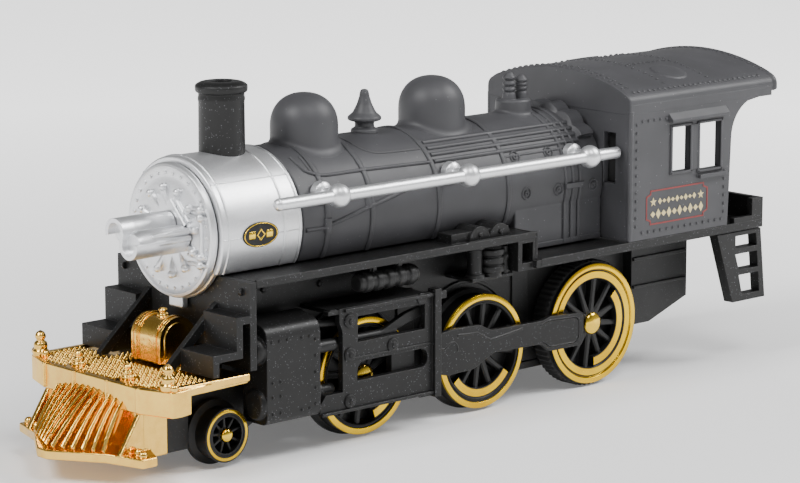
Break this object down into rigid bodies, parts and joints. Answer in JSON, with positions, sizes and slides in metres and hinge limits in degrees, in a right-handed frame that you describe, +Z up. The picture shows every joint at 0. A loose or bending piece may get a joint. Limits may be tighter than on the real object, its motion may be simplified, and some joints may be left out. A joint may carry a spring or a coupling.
{
  "type": "clockwork toy steam locomotive",
  "caption": "Toy steam locomotive with a clockwork drive inside, side rods that turn with the rear wheels, a slatted pilot and an open cab.",
  "frame": {"origin": "on the floor, under the middle of the length and the width", "axes": "+X towards the cowcatcher, +Y to the engine's left, +Z up"},
  "size_m": [0.178, 0.044, 0.0697],
  "materials": {
    "grey_enamel": "satin dark grey paint",
    "silver_paint": "satin silver paint",
    "black_plastic": "semi-matt with fine metallic flecks",
    "gold_plating": "plastic with bright gold plating",
    "brass_pins": "polished",
    "rubber": "ribbed rubber",
    "steel": "zinc plated",
    "white_plastic": "moulded natural plastic",
    "spring_steel": "blued strip"
  },
  "bodies": {
    "chassis": {"boiler_shell": "grey_enamel", "sand_dome": "grey_enamel", "steam_dome": "grey_enamel", "finial": "grey_enamel", "whistles": "grey_enamel", "cab_walls": "grey_enamel", "cab_roof": "grey_enamel", "smokebox": "silver_paint", "smokebox_door": "silver_paint", "front_nozzle": "silver_paint", "handrail_left": "silver_paint", "handrail_right": "silver_paint", "chimney": "black_plastic", "chassis_frame": "black_plastic", "chassis_cover": "black_plastic", "footplate": "black_plastic", "front_saddle": "black_plastic", "cylinder_left": "black_plastic", "cylinder_right": "black_plastic", "crosshead_guide_left": "black_plastic", "crosshead_guide_right": "black_plastic", "air_pump_left": "black_plastic", "air_pump_right": "black_plastic", "ribbed_tank_left": "black_plastic", "ribbed_tank_right": "black_plastic", "ladder_left": "black_plastic", "ladder_right": "black_plastic", "pilot": "gold_plating", "headlamp": "gold_plating", "screw_middle": "steel", "screw_front": "steel", "motor_case_left": "white_plastic", "motor_case_right": "white_plastic"},
    "rear_axle": {"axle_rear": "brass_pins", "hub_cap_rear": "brass_pins", "driver_rear_left": "black_plastic", "driver_rear_right": "black_plastic", "tyre_rear_left": "rubber", "tyre_rear_right": "rubber", "axle_pinion": "white_plastic"},
    "middle_axle": {"axle_middle": "brass_pins", "hub_cap_middle": "brass_pins", "driver_middle_left": "black_plastic", "driver_middle_right": "black_plastic"},
    "front_axle": {"axle_front": "brass_pins", "hub_cap_front": "brass_pins", "driver_front_left": "black_plastic", "driver_front_right": "black_plastic"},
    "pony_axle": {"axle_pony": "brass_pins", "hub_cap_pony": "brass_pins", "pony_wheel_left": "black_plastic", "pony_wheel_right": "black_plastic"},
    "left_rod": {"side_rod_left": "black_plastic"},
    "right_rod": {"side_rod_right": "black_plastic"},
    "idler": {"idler_gear": "white_plastic"},
    "great_wheel": {"great_gear": "white_plastic", "mainspring": "spring_steel"}
  },
  "joints": [
    {"name": "rear_axle_spin", "type": "hinge", "parent": "chassis", "child": "rear_axle", "pos_m": [-0.0394, 0, 0.0131], "axis": [0, 1, 0], "continuous": true},
    {"name": "middle_axle_spin", "type": "hinge", "parent": "chassis", "child": "middle_axle", "pos_m": [-0.0078, 0, 0.0121], "axis": [0, 1, 0], "continuous": true},
    {"name": "front_axle_spin", "type": "hinge", "parent": "chassis", "child": "front_axle", "pos_m": [0.0235, 0, 0.0121], "axis": [0, 1, 0], "continuous": true},
    {"name": "pony_axle_spin", "type": "hinge", "parent": "chassis", "child": "pony_axle", "pos_m": [0.0577, 0, 0.00615], "axis": [0, 1, 0], "continuous": true},
    {"name": "left_rod_pin", "type": "hinge", "parent": "rear_axle", "child": "left_rod", "pos_m": [-0.0316, 0, 0.0131], "axis": [0, 1, 0], "continuous": true},
    {"name": "right_rod_pin", "type": "hinge", "parent": "rear_axle", "child": "right_rod", "pos_m": [-0.0316, 0, 0.0131], "axis": [0, 1, 0], "continuous": true},
    {"name": "idler_spin", "type": "hinge", "parent": "chassis", "child": "idler", "pos_m": [-0.03426, 0, 0.01923], "axis": [0, 1, 0], "continuous": true},
    {"name": "great_wheel_spin", "type": "hinge", "parent": "chassis", "child": "great_wheel", "pos_m": [-0.0258, 0, 0.01615], "axis": [0, 1, 0], "continuous": true}
  ],
  "couplings": [
    {"joint": "left_rod_pin", "follows": "rear_axle_spin", "ratio": -1},
    {"joint": "right_rod_pin", "follows": "rear_axle_spin", "ratio": -1},
    {"joint": "idler_spin", "follows": "rear_axle_spin", "ratio": -0.45455},
    {"joint": "great_wheel_spin", "follows": "rear_axle_spin", "ratio": 0.17483}
  ]
}
